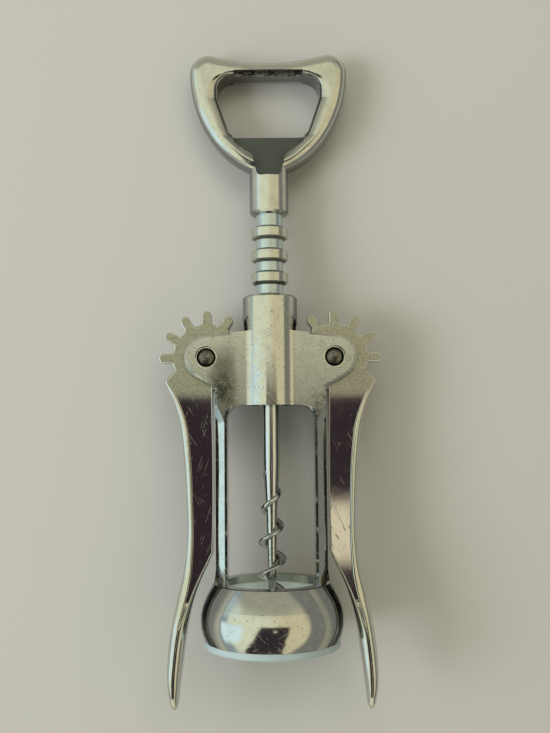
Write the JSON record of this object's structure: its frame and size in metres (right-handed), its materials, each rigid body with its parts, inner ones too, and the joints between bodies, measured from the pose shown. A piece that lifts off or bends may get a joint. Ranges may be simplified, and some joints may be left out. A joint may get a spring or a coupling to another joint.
{
  "type": "double-lever corkscrew",
  "caption": "Chrome-plated corkscrew: swinging side levers with gears drive a ringed rack and worm through a bell with a plastic neck ring; the grip loop opens crown caps.",
  "frame": {"origin": "centre of the bottle seat at the bell's mouth, on the screw axis", "axes": "the corkscrew lies on its back: +Y runs along the screw axis from the bell to the grip, +X points to the right lever, +Z points out of the front face"},
  "size_m": [0.0608, 0.1789, 0.0386],
  "materials": {
    "plated_frame": "worn bright plating with pits and scratches",
    "plated_lever": "worn bright plating with fine scratches",
    "plated_grip": "worn bright plating, dull in the sunken web",
    "worm_steel": "bright drawn steel",
    "pin_steel": "dark dull steel",
    "ring_plastic": "pale mint, slightly cloudy"
  },
  "bodies": {
    "frame": {"frame": "plated_frame", "left_pivot_pin": "pin_steel", "right_pivot_pin": "pin_steel"},
    "neck_ring": {"neck_ring": "ring_plastic"},
    "handle": {"handle_rack": "plated_grip", "worm": "worm_steel"},
    "left_lever": {"left_lever": "plated_lever"},
    "right_lever": {"right_lever": "plated_lever"}
  },
  "joints": [
    {"name": "screw_turn", "type": "hinge", "parent": "frame", "child": "neck_ring", "pos_m": [0, 0, 0], "axis": [0, 1, 0], "continuous": true},
    {"name": "rack_travel", "type": "slide", "parent": "neck_ring", "child": "handle", "axis": [0, -1, 0], "range_m": [0, 0.0314]},
    {"name": "left_lever_swing", "type": "hinge", "parent": "frame", "child": "left_lever", "pos_m": [-0.0174, 0.0773, 0], "axis": [0, 0, -1], "range_deg": [0, 150]},
    {"name": "right_lever_swing", "type": "hinge", "parent": "frame", "child": "right_lever", "pos_m": [0.0174, 0.0773, 0], "axis": [0, 0, 1], "range_deg": [0, 150]}
  ],
  "couplings": [
    {"joint": "left_lever_swing", "follows": "rack_travel", "rad_per_m": 83.333},
    {"joint": "right_lever_swing", "follows": "rack_travel", "rad_per_m": 83.333}
  ]
}
